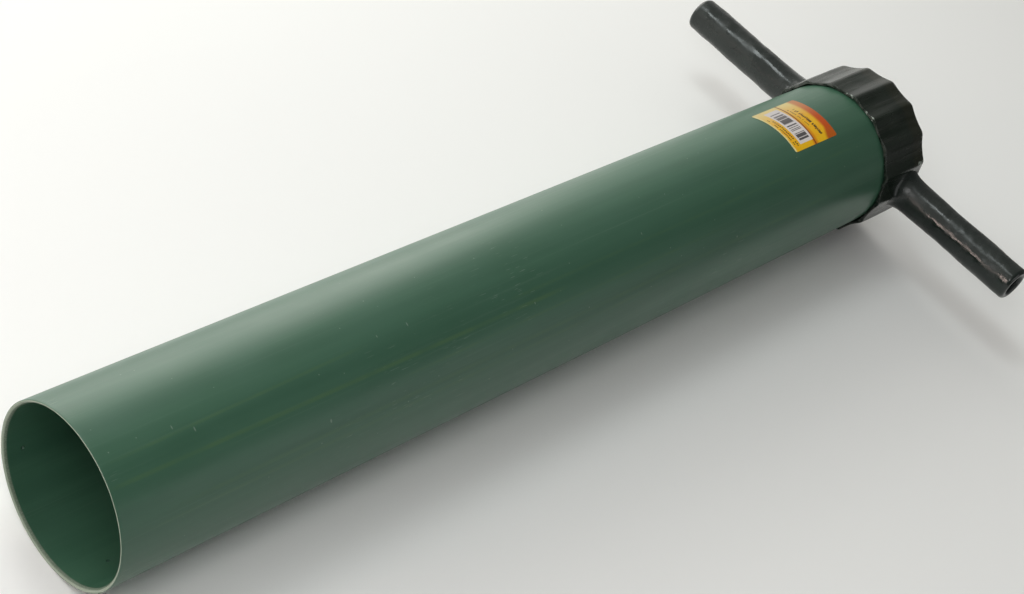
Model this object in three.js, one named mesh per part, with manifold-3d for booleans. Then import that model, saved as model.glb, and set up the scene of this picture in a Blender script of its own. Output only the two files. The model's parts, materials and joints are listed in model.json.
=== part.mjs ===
// Manual post driver. A length of plastic pipe drops over the post, and a weighted head with a handle on
// each side closes its far end. The tool lies on its side, as it is put down: the pipe runs along X with
// its open mouth at the -X end, the handles reach out along +Y and -Y, and +Z is up.
// Sizes are millimetres. Places along the tool are counted from the mouth, and angles about the pipe from
// +Y towards +Z, in degrees.

import * as THREE from "three";
import { mergeVertices } from "three/addons/utils/BufferGeometryUtils.js";
import Module from "manifold-3d";

const wasm = await Module();
wasm.setup();

// ---- Driving dimensions ----

const GAP = 0.3; // between pieces that touch

const TUBE_RADIUS = 80;
const TUBE_WALL = 3.6;
const TUBE_LENGTH = 1033;
const MOUTH_BEVEL_LENGTH = 2.5; // inner edge of the mouth
const MOUTH_BEVEL_DEPTH = 1.8;
const MOUTH_EDGE_BREAK = 0.4; // outer edge of the mouth
const MOUTH_HOLE_RADIUS = 2;
const MOUTH_HOLES = [
  { along: 18, angle: -21 },
  { along: 38, angle: -114 },
];

const JACKET_START = 1002;
const JACKET_END = 1079;
const JACKET_TOP_WALL = 3.5;
const FLUTES = 16;
const FLUTE_STEPS = 4; // straight steps in the hollow of one flute
const RIDGE_RADIUS = 87;
const VALLEY_RADIUS = 83.7;
const JACKET_CORNER = 9; // rounding of the far edge
const LIP_RADIUS = 82.6; // the bore opens out to this at the lip
const LIP_LENGTH = 5;

const STRIKE_FACE = 972; // what the top of the post meets
const STRIKE_PLATE_THICKNESS = 12.7;
const STRIKE_PLATE_RADIUS = 74;
const WEIGHT_EDGE_BREAK = 2;

const BAR_ALONG = 1056.5; // where the handle bar crosses the head
const BAR_RADIUS = 13.45; // 26.9 mm steel pipe
const BAR_WALL = 2.6;
const HANDLE_REACH = 247; // from the pipe's axis to the end of each grip
const GRIP_RADIUS = 20.2;
const GRIP_LIP_CUP = 3.4; // thickness of the grip over the end of the bar
const GRIP_FLARE = 3.2; // the grip widens by this towards the head
const GRIP_FLARE_LENGTH = 22;

const LOCK_PIN_RADIUS = 3;
const LOCK_PIN_WALL = 0.9;
const LOCK_PIN_SLOT = 50; // degrees
const LOCK_PIN_LENGTH = 35;
const LOCK_PIN_COVER = 2.5; // metal left over the pin's hole
const LOCK_PIN_OFFSET = 45; // each side of the pipe's axis

const PLATE_SCREWS = 4;
const PLATE_SCREW_CIRCLE = 50; // radius
const PLATE_SCREW = { head: 9.5, shank: 4.8, length: 38, socket: 3.4 };

const TUBE_SCREWS = 6;
const TUBE_SCREW_ALONG = 1018;
const TUBE_SCREW_FIRST = 30; // angle
const TUBE_SCREW = { head: 4.6, shank: 2.4, length: 20, socket: 1.7 };
const SCREW_HEAD_EDGE = 0.4; // straight edge round a countersunk head
const HOLE_DEEPER = 2; // a screw's hole goes on past its point by this

const LABEL_START = 868;
const LABEL_LENGTH = 73;
const LABEL_ANGLES = [62.5, 110];
const LABEL_THICKNESS = 0.25;

const ROUND_SIDES = 72; // facets round the large pieces
const BAR_SIDES = 36;
const SMALL_SIDES = 12; // facets round screws, pins and small holes
const CORNER_STEPS = 4; // straight steps in a rounded corner
const OVERRUN = 5; // how far a cutter runs past the piece it cuts
const MERGE_DISTANCE = 1e-4;

// ---- Values worked out from them ----

const TUBE_BORE = TUBE_RADIUS - TUBE_WALL;
const WEIGHT_START = STRIKE_FACE + STRIKE_PLATE_THICKNESS + GAP;
const WEIGHT_END = JACKET_END - JACKET_TOP_WALL - GAP;
const JACKET_BORE = TUBE_RADIUS + GAP;
const JACKET_BORE_CORNER = JACKET_CORNER - JACKET_TOP_WALL;
const BAR_HOLE = BAR_RADIUS + GAP;
const BAR_HALF_LENGTH = HANDLE_REACH - GRIP_LIP_CUP - GAP;
const BAR_BORE = BAR_RADIUS - BAR_WALL;
const GRIP_END_ROUND = (GRIP_RADIUS - BAR_BORE) / 2;
const LOCK_PIN_END = WEIGHT_END - LOCK_PIN_COVER;

const X_AXIS = new THREE.Vector3(1, 0, 0);
const Y_AXIS = new THREE.Vector3(0, 1, 0);
const Z_AXIS = new THREE.Vector3(0, 0, 1);

const radians = THREE.MathUtils.degToRad;

// ---- Materials ----

function material(color, roughness, metalness) {
  return new THREE.MeshStandardMaterial({ color, roughness, metalness });
}

const GREEN_PIPE = material(0x4a6b59, 0.42, 0);
const BLACK_MOULDING = material(0x20262a, 0.5, 0);
const DARK_GREEN_GRIP = material(0x2c3630, 0.28, 0);
const CAST_IRON = material(0x4b4b4d, 0.7, 0.8);
const PLAIN_STEEL = material(0x9a9c9e, 0.4, 1);
const LABEL_FILM = material(0xf2b41c, 0.5, 0);

// ---- Geometry helpers ----

// The solid that a closed geometry bounds.
function solidOf(geometry) {
  const bare = geometry.clone();
  bare.deleteAttribute("normal");
  bare.deleteAttribute("uv");
  const merged = mergeVertices(bare, MERGE_DISTANCE);
  const vertProperties = merged.attributes.position.array;
  const triVerts = new Uint32Array(merged.index.array);
  return new wasm.Manifold(new wasm.Mesh({ numProp: 3, vertProperties, triVerts }));
}

function geometryOf(solid) {
  const mesh = solid.getMesh();
  const geometry = new THREE.BufferGeometry();
  geometry.setAttribute("position", new THREE.BufferAttribute(mesh.vertProperties, 3));
  geometry.setIndex(new THREE.BufferAttribute(mesh.triVerts, 1));
  geometry.computeVertexNormals();
  return geometry;
}

function cut(geometry, cutters) {
  return geometryOf(cutters.reduce((left, cutter) => left.subtract(solidOf(cutter)), solidOf(geometry)));
}

// A body turned about X from [place along X, radius] points, with its outer wall listed towards +X.
function turned(outline, sides) {
  const points = outline.map(([along, radius]) => new THREE.Vector2(radius, along));
  return new THREE.LatheGeometry(points, sides).rotateZ(-Math.PI / 2);
}

// The same for a body with a bore: its outline closes on itself.
function turnedRing(outline, sides) {
  return turned([...outline, outline[0]], sides);
}

// Points of a quarter circle that turns a wall running along X into a face across it.
function cornerPoints(along, radius, round) {
  return Array.from({ length: CORNER_STEPS + 1 }, (_, i) => {
    const turn = (i / CORNER_STEPS) * (Math.PI / 2);
    return [along - round + round * Math.sin(turn), radius - round + round * Math.cos(turn)];
  });
}

// A shape drawn in Y and Z, extruded along X.
function extrudedAlongX(shape, from, length, curveSegments) {
  const turn = new THREE.Matrix4().makeBasis(Y_AXIS, Z_AXIS, X_AXIS);
  return new THREE.ExtrudeGeometry(shape, { depth: length, bevelEnabled: false, curveSegments })
    .applyMatrix4(turn)
    .translate(from, 0, 0);
}

// A round cutter about X, from one place to another.
function drillAlongX(radius, from, to, y, z) {
  const length = to - from;
  return new THREE.CylinderGeometry(radius, radius, length, SMALL_SIDES)
    .rotateZ(-Math.PI / 2)
    .translate(from + length / 2, y, z);
}

// A round cutter along Y through the whole head, where the handle bar passes.
function barDrill() {
  const reach = 3 * TUBE_RADIUS;
  return new THREE.CylinderGeometry(BAR_HOLE, BAR_HOLE, reach, BAR_SIDES).translate(BAR_ALONG, 0, 0);
}

// Carries a piece made about X, its head at x = 0, to the outside of the pipe, pointing at the axis.
function inwardAt(along, angle) {
  return new THREE.Matrix4()
    .makeRotationX(radians(angle) - Math.PI / 2)
    .multiply(new THREE.Matrix4().makeTranslation(along, 0, TUBE_RADIUS))
    .multiply(new THREE.Matrix4().makeRotationY(Math.PI / 2));
}

// Outline of the fluted jacket: shallow hollows that meet in ridges, one ridge on each handle's line.
function flutedShape(ridge, valley) {
  const step = (2 * Math.PI) / FLUTES;
  const chord = ridge * Math.cos(step / 2);
  const control = 2 * valley - chord; // draws the curve's middle in to the valley radius
  const shape = new THREE.Shape();
  shape.moveTo(ridge, 0);
  for (let i = 0; i < FLUTES; i++) {
    const middle = (i + 0.5) * step;
    const end = (i + 1) * step;
    shape.quadraticCurveTo(
      control * Math.cos(middle),
      control * Math.sin(middle),
      ridge * Math.cos(end),
      ridge * Math.sin(end),
    );
  }
  return shape;
}

// ---- Fasteners, made about X with the head's face at x = 0 and the shank towards +X ----

function countersunkScrew({ head, shank, length, socket }) {
  const body = turned(
    [
      [0, 0],
      [0, head],
      [SCREW_HEAD_EDGE, head],
      [SCREW_HEAD_EDGE + head - shank, shank],
      [length - shank, shank],
      [length, shank / 2],
      [length, 0],
    ],
    SMALL_SIDES,
  );
  const hexagon = new THREE.CylinderGeometry(socket, socket, socket + OVERRUN, 6)
    .rotateZ(-Math.PI / 2)
    .translate((socket - OVERRUN) / 2, 0, 0);
  return cut(body, [hexagon]);
}

// What a countersunk screw's hole removes: the screw's own outline a gap larger all round, and deeper.
function countersunkHole({ head, shank, length }, deeper) {
  const coneStart = SCREW_HEAD_EDGE + GAP;
  return turned(
    [
      [-OVERRUN, 0],
      [-OVERRUN, head + GAP],
      [coneStart, head + GAP],
      [coneStart + head - shank, shank + GAP],
      [length + deeper, shank + GAP],
      [length + deeper, 0],
    ],
    SMALL_SIDES,
  );
}

// Where each of the strike plate's screws sits, evenly round a circle.
const plateScrewPlaces = Array.from({ length: PLATE_SCREWS }, (_, i) => {
  const angle = ((i + 0.5) * 2 * Math.PI) / PLATE_SCREWS;
  return { y: PLATE_SCREW_CIRCLE * Math.cos(angle), z: PLATE_SCREW_CIRCLE * Math.sin(angle) };
});

const tubeScrewPlaces = Array.from({ length: TUBE_SCREWS }, (_, i) =>
  inwardAt(TUBE_SCREW_ALONG, TUBE_SCREW_FIRST + (i * 360) / TUBE_SCREWS),
);

const plateScrewHoles = plateScrewPlaces.map(({ y, z }) =>
  countersunkHole(PLATE_SCREW, HOLE_DEEPER).translate(STRIKE_FACE, y, z),
);

const tubeScrewHoles = tubeScrewPlaces.map((place) =>
  countersunkHole(TUBE_SCREW, HOLE_DEEPER).applyMatrix4(place),
);

// ---- Sub-parts ----

// Plastic pipe that slides over the post. Its far end stands inside the jacket, against the weight.
function guideTube() {
  const pipe = turnedRing(
    [
      [0, TUBE_RADIUS - MOUTH_EDGE_BREAK],
      [MOUTH_EDGE_BREAK, TUBE_RADIUS],
      [TUBE_LENGTH, TUBE_RADIUS],
      [TUBE_LENGTH, TUBE_BORE],
      [MOUTH_BEVEL_LENGTH, TUBE_BORE],
      [0, TUBE_BORE + MOUTH_BEVEL_DEPTH],
    ],
    ROUND_SIDES,
  );
  const mouthDrills = MOUTH_HOLES.map(({ along, angle }) =>
    drillAlongX(MOUTH_HOLE_RADIUS, -OVERRUN, TUBE_WALL + OVERRUN, 0, 0).applyMatrix4(inwardAt(along, angle)),
  );
  return cut(pipe, [...mouthDrills, ...tubeScrewHoles]);
}

// Fluted moulding that closes the far end, over the weight and the end of the pipe.
function headJacket() {
  const length = JACKET_END - JACKET_START;
  const fluted = extrudedAlongX(flutedShape(RIDGE_RADIUS, VALLEY_RADIUS), JACKET_START, length, FLUTE_STEPS);
  const rounded = turned(
    [
      [JACKET_START - OVERRUN, 0],
      [JACKET_START - OVERRUN, RIDGE_RADIUS + GAP],
      ...cornerPoints(JACKET_END, RIDGE_RADIUS + GAP, JACKET_CORNER),
      [JACKET_END, 0],
    ],
    ROUND_SIDES,
  );
  const hollow = turned(
    [
      [JACKET_START - OVERRUN, 0],
      [JACKET_START - OVERRUN, LIP_RADIUS],
      [JACKET_START, LIP_RADIUS],
      [JACKET_START + LIP_LENGTH, JACKET_BORE],
      ...cornerPoints(JACKET_END - JACKET_TOP_WALL, JACKET_BORE, JACKET_BORE_CORNER),
      [JACKET_END - JACKET_TOP_WALL, 0],
    ],
    ROUND_SIDES,
  );
  const outside = solidOf(fluted).intersect(solidOf(rounded));
  return cut(geometryOf(outside), [hollow, barDrill()]);
}

// Cast weight: a spigot inside the pipe and a shoulder that rests on the pipe's end.
function headWeight() {
  const spigotRadius = TUBE_BORE - GAP;
  const shoulder = TUBE_LENGTH + GAP;
  const casting = turned(
    [
      [WEIGHT_START, 0],
      [WEIGHT_START, spigotRadius - WEIGHT_EDGE_BREAK],
      [WEIGHT_START + WEIGHT_EDGE_BREAK, spigotRadius],
      [shoulder, spigotRadius],
      [shoulder, TUBE_RADIUS],
      ...cornerPoints(WEIGHT_END, TUBE_RADIUS, JACKET_BORE_CORNER),
      [WEIGHT_END, 0],
    ],
    ROUND_SIDES,
  );
  const pinDrills = [-LOCK_PIN_OFFSET, LOCK_PIN_OFFSET].map((y) =>
    drillAlongX(LOCK_PIN_RADIUS + GAP, WEIGHT_START - OVERRUN, LOCK_PIN_END + GAP, y, 0),
  );
  return cut(casting, [barDrill(), ...pinDrills, ...plateScrewHoles, ...tubeScrewHoles]);
}

// Steel disc that takes the blows, screwed to the weight inside the pipe.
function strikePlate() {
  const end = STRIKE_FACE + STRIKE_PLATE_THICKNESS;
  const disc = turned(
    [
      [STRIKE_FACE, 0],
      [STRIKE_FACE, STRIKE_PLATE_RADIUS - WEIGHT_EDGE_BREAK],
      [STRIKE_FACE + WEIGHT_EDGE_BREAK, STRIKE_PLATE_RADIUS],
      [end, STRIKE_PLATE_RADIUS],
      [end, 0],
    ],
    ROUND_SIDES,
  );
  return cut(disc, plateScrewHoles);
}

// Steel pipe that runs through the weight and is the core of both handles, made about Y.
function handleBar() {
  const bar = turnedRing(
    [
      [-BAR_HALF_LENGTH, BAR_BORE],
      [-BAR_HALF_LENGTH, BAR_RADIUS],
      [BAR_HALF_LENGTH, BAR_RADIUS],
      [BAR_HALF_LENGTH, BAR_BORE],
    ],
    BAR_SIDES,
  ).rotateZ(Math.PI / 2);
  const pinDrills = [-LOCK_PIN_OFFSET, LOCK_PIN_OFFSET].map((y) =>
    drillAlongX(LOCK_PIN_RADIUS + GAP, -BAR_HOLE - OVERRUN, BAR_HOLE + OVERRUN, y, 0),
  );
  return cut(bar, pinDrills);
}

// Thick soft grip over one end of the bar. It widens where it meets the jacket, and its rounded lip
// covers the end of the bar but leaves the bar's bore open. Made about Y, on the +Y side.
function handleGrip() {
  const flare = Array.from({ length: CORNER_STEPS + 1 }, (_, i) => {
    const left = 1 - i / CORNER_STEPS;
    return [TUBE_RADIUS + (1 - left) * GRIP_FLARE_LENGTH, GRIP_RADIUS + GRIP_FLARE * left * left];
  });
  const lip = Array.from({ length: 2 * CORNER_STEPS + 1 }, (_, i) => {
    const turn = (i / (2 * CORNER_STEPS)) * Math.PI;
    return [
      HANDLE_REACH - GRIP_END_ROUND + GRIP_END_ROUND * Math.sin(turn),
      GRIP_RADIUS - GRIP_END_ROUND + GRIP_END_ROUND * Math.cos(turn),
    ];
  });
  const sleeve = turnedRing(
    [
      ...flare,
      ...lip,
      [BAR_HALF_LENGTH + GAP, BAR_BORE],
      [BAR_HALF_LENGTH + GAP, BAR_HOLE],
      [TUBE_RADIUS, BAR_HOLE],
    ],
    BAR_SIDES,
  ).rotateZ(Math.PI / 2);
  const seat = extrudedAlongX(
    flutedShape(RIDGE_RADIUS + GAP, VALLEY_RADIUS + GAP),
    -2 * GRIP_RADIUS,
    4 * GRIP_RADIUS,
    FLUTE_STEPS,
  );
  return cut(sleeve, [seat]);
}

// Rolled steel pin with a slot along it.
function lockPin() {
  const half = radians(LOCK_PIN_SLOT / 2);
  const bore = LOCK_PIN_RADIUS - LOCK_PIN_WALL;
  const section = new THREE.Shape();
  section.absarc(0, 0, LOCK_PIN_RADIUS, half, -half, false);
  section.absarc(0, 0, bore, -half, half, true);
  section.closePath();
  return extrudedAlongX(section, LOCK_PIN_END - LOCK_PIN_LENGTH, LOCK_PIN_LENGTH, SMALL_SIDES / 2);
}

// Thin film bent round the pipe.
function label() {
  const inner = TUBE_RADIUS + GAP;
  const [from, to] = LABEL_ANGLES.map(radians);
  const section = new THREE.Shape();
  section.absarc(0, 0, inner + LABEL_THICKNESS, from, to, false);
  section.absarc(0, 0, inner, to, from, true);
  section.closePath();
  return extrudedAlongX(section, LABEL_START, LABEL_LENGTH, SMALL_SIDES);
}

// ---- Assembly ----

function named(name, geometry, surface) {
  const mesh = new THREE.Mesh(geometry, surface);
  mesh.name = name;
  return mesh;
}

// The tool about its pipe's axis, from the mouth.
const tool = new THREE.Group();
tool.add(named("guide_tube", guideTube(), GREEN_PIPE));
tool.add(named("head_jacket", headJacket(), BLACK_MOULDING));
tool.add(named("head_weight", headWeight(), CAST_IRON));
tool.add(named("strike_plate", strikePlate(), PLAIN_STEEL));
tool.add(named("spec_label", label(), LABEL_FILM));

const plateScrew = countersunkScrew(PLATE_SCREW);
plateScrewPlaces.forEach(({ y, z }, i) => {
  const screw = named(`strike_plate_screw_${i + 1}`, plateScrew, PLAIN_STEEL);
  screw.position.set(STRIKE_FACE, y, z);
  tool.add(screw);
});

const tubeScrew = countersunkScrew(TUBE_SCREW);
tubeScrewPlaces.forEach((place, i) => {
  const screw = named(`tube_screw_${i + 1}`, tubeScrew, PLAIN_STEEL);
  screw.applyMatrix4(place);
  tool.add(screw);
});

// The two handles about the bar's axis.
const handles = new THREE.Group();
handles.position.x = BAR_ALONG;
handles.add(named("handle_bar", handleBar(), PLAIN_STEEL));
const grip = handleGrip();
handles.add(named("handle_grip_left", grip, DARK_GREEN_GRIP));
const rightGrip = named("handle_grip_right", grip, DARK_GREEN_GRIP);
rightGrip.rotation.x = Math.PI;
handles.add(rightGrip);
tool.add(handles);

const pin = lockPin();
[
  { side: "left", y: LOCK_PIN_OFFSET },
  { side: "right", y: -LOCK_PIN_OFFSET },
].forEach(({ side, y }) => {
  const lock = named(`handle_lock_pin_${side}`, pin, PLAIN_STEEL);
  lock.position.y = y;
  tool.add(lock);
});

// The origin is under the middle of the tool, on the plane that its lowest ridge rests on.
tool.position.set(-JACKET_END / 2, 0, RIDGE_RADIUS);

const postDriver = new THREE.Group();
postDriver.add(tool);

export default postDriver;
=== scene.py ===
"""Looks of the manual post driver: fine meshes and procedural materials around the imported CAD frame.

The tool lies along X with its mouth at -X and its head at +X, and the handles reach out along +Y and -Y.
Lengths are metres. Angles about the pipe run from +Y towards +Z, in radians unless marked as degrees.
"""

import json
import math

import bpy
import numpy as np
from mathutils import Matrix, Vector, noise


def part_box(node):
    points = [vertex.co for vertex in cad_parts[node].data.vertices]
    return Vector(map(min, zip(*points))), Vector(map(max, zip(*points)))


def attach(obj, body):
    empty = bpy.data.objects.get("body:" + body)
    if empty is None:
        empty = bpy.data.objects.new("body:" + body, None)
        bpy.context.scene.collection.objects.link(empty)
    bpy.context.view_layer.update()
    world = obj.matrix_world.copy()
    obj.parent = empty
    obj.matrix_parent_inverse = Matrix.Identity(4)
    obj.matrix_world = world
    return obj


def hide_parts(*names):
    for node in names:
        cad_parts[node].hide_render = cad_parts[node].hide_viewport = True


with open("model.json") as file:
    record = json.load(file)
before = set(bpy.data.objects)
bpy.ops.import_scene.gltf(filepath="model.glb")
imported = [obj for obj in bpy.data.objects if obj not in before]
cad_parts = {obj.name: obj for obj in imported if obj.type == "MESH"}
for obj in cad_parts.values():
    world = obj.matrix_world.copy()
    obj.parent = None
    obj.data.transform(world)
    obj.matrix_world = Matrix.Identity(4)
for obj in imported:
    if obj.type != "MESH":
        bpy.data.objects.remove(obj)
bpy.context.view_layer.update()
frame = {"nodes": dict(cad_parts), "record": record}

MM = 0.001

# ---- Places read from the frame ----

tube_low, tube_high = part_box("guide_tube")
jacket_low, jacket_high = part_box("head_jacket")
bar_low, bar_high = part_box("handle_bar")
_, grip_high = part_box("handle_grip_left")
plate_low, plate_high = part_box("strike_plate")
label_low, label_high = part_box("spec_label")

MOUTH = tube_low.x
TUBE_END = tube_high.x
TUBE_RADIUS = (tube_high.y - tube_low.y) / 2
AXIS_HEIGHT = (tube_high.z + tube_low.z) / 2
JACKET_START = jacket_low.x
JACKET_END = jacket_high.x
RIDGE_RADIUS = (jacket_high.z - jacket_low.z) / 2
BAR_X = (bar_low.x + bar_high.x) / 2
BAR_RADIUS = (bar_high.x - bar_low.x) / 2
BAR_END = bar_high.y
GRIP_END = grip_high.y

# ---- Dimensions that the frame's boxes don't give ----

TUBE_WALL = 3.6 * MM
TUBE_BORE = TUBE_RADIUS - TUBE_WALL
MOUTH_EDGE_ROUND = 0.5 * MM
MOUTH_FACE = 1.3 * MM  # width of the flat cut face, from the outside inwards
MOUTH_FACE_SLOPE = (0.9 * MM, 2.4 * MM)  # where its chamfer ends: depth, and distance from the outside
MOUTH_BEVEL_LENGTH = 2.8 * MM
MOUTH_HOLE_RADIUS = 2 * MM
MOUTH_HOLES = [(18 * MM, -21), (38 * MM, -114)]  # (distance from the mouth, angle in degrees)
MOUTH_HOLE_TAPER = 1.4 * MM  # how deep under the pipe's outside the taper starts
MOUTH_HOLE_POINT = 0.25 * MM  # how far past the outside its point is
TUBE_SCREWS = 6
TUBE_SCREW_DISTANCE = 1018 * MM
TUBE_SCREW_FIRST_DEGREES = 30
TUBE_SCREW_HOLE = 5 * MM
TUBE_SIDES = 288
TUBE_RING_SPACING = 14 * MM
TUBE_OVAL = 0.12 * MM  # how far the pipe is out of round
TUBE_UNEVEN = 0.05 * MM
MOUTH_UNEVEN = 0.10 * MM  # how far the saw cut wanders along the pipe
MOUTH_UNEVEN_REACH = 4 * MM

FLUTES = 16
VALLEY_RADIUS = 83.1 * MM
RIDGE_SOFTNESS_DEGREES = 1.5
JACKET_TOP_WALL = 3.5 * MM
JACKET_BORE = TUBE_RADIUS + 0.3 * MM
JACKET_CORNER = 9 * MM
LIP_GAP = 0.5 * MM
LIP_LENGTH = 5 * MM
LIP_ROUND = 0.8 * MM
LIP_DRAFT = 0.5 * MM  # how much smaller the wall is at the lip
LIP_DRAFT_LENGTH = 30 * MM
TOP_LEAN = 0.7 * MM  # how much smaller it is at the closed end
TOP_LEAN_LENGTH = 26 * MM
JACKET_UNEVEN = 0.22 * MM
SAMPLES_PER_FLUTE = 24

BAR_WALL = 2.6 * MM
BAR_BORE = BAR_RADIUS - BAR_WALL
PIN_OFFSET = 45 * MM
PIN_HOLE = 3.3 * MM

GRIP_RADIUS = 20.1 * MM
GRIP_GAP = 0.3 * MM
GRIP_FLARE = 4.6 * MM
GRIP_FLARE_DECAY = 9 * MM
GRIP_EMBED = 0.3 * MM  # how far the grip's root sinks into the jacket's surface
GRIP_APRON = 5 * MM  # extra spread of the root towards the mouth
GRIP_APRON_DECAY = 3.5 * MM
GRIP_SIDES = 160
GRIP_SETTLED = 45 * MM  # where the grip's rings no longer follow the jacket's outline
GRIP_LUMPS = 0.80 * MM
GRIP_PIMPLES = 0.22 * MM

SCREW_CIRCLE = 50 * MM
SCREW_HEAD = 9.5 * MM
SCREW_SHANK = 4.8 * MM
SCREW_LENGTH = 38 * MM
SCREW_RIM = 0.3 * MM
SCREW_RIM_DEPTH = 0.4 * MM
SCREW_CLEARANCE = 0.3 * MM
SCREW_SIDES = 48
SOCKET_RADIUS = 3.4 * MM
SOCKET_DEPTH = 3.4 * MM

PLATE_EDGE = 2 * MM
PLATE_FACE_EDGE = 0.6 * MM
PLATE_BACK_EDGE = 0.5 * MM
PLATE_DENTS = 0.18 * MM
CENTRE_HOLE = 2 * MM  # radius at which the rings of a flat face stop and a fan closes it

LABEL_CORNER = 2.5 * MM
LABEL_FILM = 0.16 * MM
LABEL_LIFT = 0.14 * MM  # gap between the film and the pipe
LABEL_CAD_LIFT = 0.3 * MM
LABEL_CAD_TOP = 0.55 * MM  # the CAD film's outside, from the pipe
LABEL_COLUMNS = 49
LABEL_UV_UNIT = 100 * MM

SHARP_DEGREES = 35

# ---- Mesh helpers ----


def polar(x, radius, angle):
    """Points about the pipe's axis, as an array with x, y and z last."""
    x, radius, angle = np.broadcast_arrays(x, radius, angle)
    return np.stack([x, radius * np.cos(angle), AXIS_HEIGHT + radius * np.sin(angle)], axis=-1)


def ripple(points, size, seed):
    """Smooth noise between about -1 and 1 at each point, with features of the given size."""
    shift = Vector((seed * 7.31, seed * 3.17, seed * 5.53))
    flat = points.reshape(-1, 3) / size
    values = [noise.noise(Vector(p) + shift) for p in flat]
    return np.array(values).reshape(points.shape[:-1])


def signed_volume(vertices, faces):
    """Positive when the faces of a closed mesh point outwards."""
    triangles = np.array([(face[0], face[i], face[i + 1]) for face in faces for i in range(1, len(face) - 1)])
    a, b, c = (vertices[triangles[:, k]] for k in range(3))
    return np.einsum("ij,ij->", a, np.cross(b, c)) / 6


def add_object(name, data):
    """A new object in the scene that shows a mesh, a light or a camera."""
    obj = bpy.data.objects.new(name, data)
    bpy.context.scene.collection.objects.link(obj)
    return obj


def new_object(name, vertices, faces, material, sharp_degrees=SHARP_DEGREES):
    """A smooth-shaded mesh object with its faces turned outwards and its sharp edges marked."""
    vertices = np.asarray(vertices, float)
    if signed_volume(vertices, faces) < 0:
        faces = [tuple(reversed(face)) for face in faces]
    mesh = bpy.data.meshes.new(name)
    mesh.from_pydata(vertices.tolist(), [], faces)
    mesh.validate()
    mesh.shade_smooth()
    mesh.set_sharp_from_angle(angle=math.radians(sharp_degrees))
    mesh.materials.append(material)
    return add_object(name, mesh)


def ring_faces(rows, columns, closed):
    """Four-sided faces between rings of points, and from the last ring back to the first when closed."""
    faces = []
    for i in range(rows if closed else rows - 1):
        low = i * columns
        high = ((i + 1) % rows) * columns
        for j in range(columns):
            k = (j + 1) % columns
            faces.append((low + j, low + k, high + k, high + j))
    return faces


def ringed_body(name, rings, material, closed, sharp_degrees=SHARP_DEGREES):
    """A body through rings of points. A closed one has a bore; the others end in a fan of triangles."""
    rings = np.asarray(rings, float)
    rows, columns = rings.shape[:2]
    vertices = rings.reshape(-1, 3)
    faces = ring_faces(rows, columns, closed)
    if not closed:
        vertices = np.vstack([vertices, rings[0].mean(axis=0), rings[-1].mean(axis=0)])
        first = rows * columns
        last = first + 1
        end = (rows - 1) * columns
        for j in range(columns):
            k = (j + 1) % columns
            faces.append((k, j, first))
            faces.append((end + j, end + k, last))
    return new_object(name, vertices, faces, material, sharp_degrees)


def circle_angles(count):
    return np.arange(count) * (2 * math.pi / count)


def steps(start, end, longest):
    """Evenly spaced values from start to end, no further apart than longest."""
    count = max(2, int(math.ceil(abs(end - start) / longest)) + 1)
    return list(np.linspace(start, end, count))


def cut(obj, cutters):
    """Takes the cutters' shapes away from obj and deletes the cutters."""
    for cutter in cutters:
        modifier = obj.modifiers.new("cut", "BOOLEAN")
        modifier.operation = "DIFFERENCE"
        modifier.solver = "EXACT"
        modifier.object = cutter
    bpy.context.view_layer.update()
    graph = bpy.context.evaluated_depsgraph_get()
    result = bpy.data.meshes.new_from_object(obj.evaluated_get(graph))
    obj.modifiers.clear()
    obj.data = result
    result.name = obj.name
    for cutter in cutters:
        bpy.data.objects.remove(cutter)
    result.set_sharp_from_angle(angle=math.radians(SHARP_DEGREES))
    return obj


def rod(name, start, end, radius, material, sides=32, point=None):
    """A plain round cutter between two points, tapered beyond its end when a point is given."""
    start, end = Vector(start), Vector(end)
    turn = (end - start).to_track_quat("Z", "Y").to_matrix()
    circle = [Vector((math.cos(a), math.sin(a), 0)) for a in circle_angles(sides)]
    places = [(start, radius), (end, radius)]
    if point is not None:
        places.append((Vector(point), 0.15 * radius))
    rings = [[at + turn @ (size * spoke) for spoke in circle] for at, size in places]
    return ringed_body(name, rings, material, closed=False)


# ---- Material helpers ----


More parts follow.
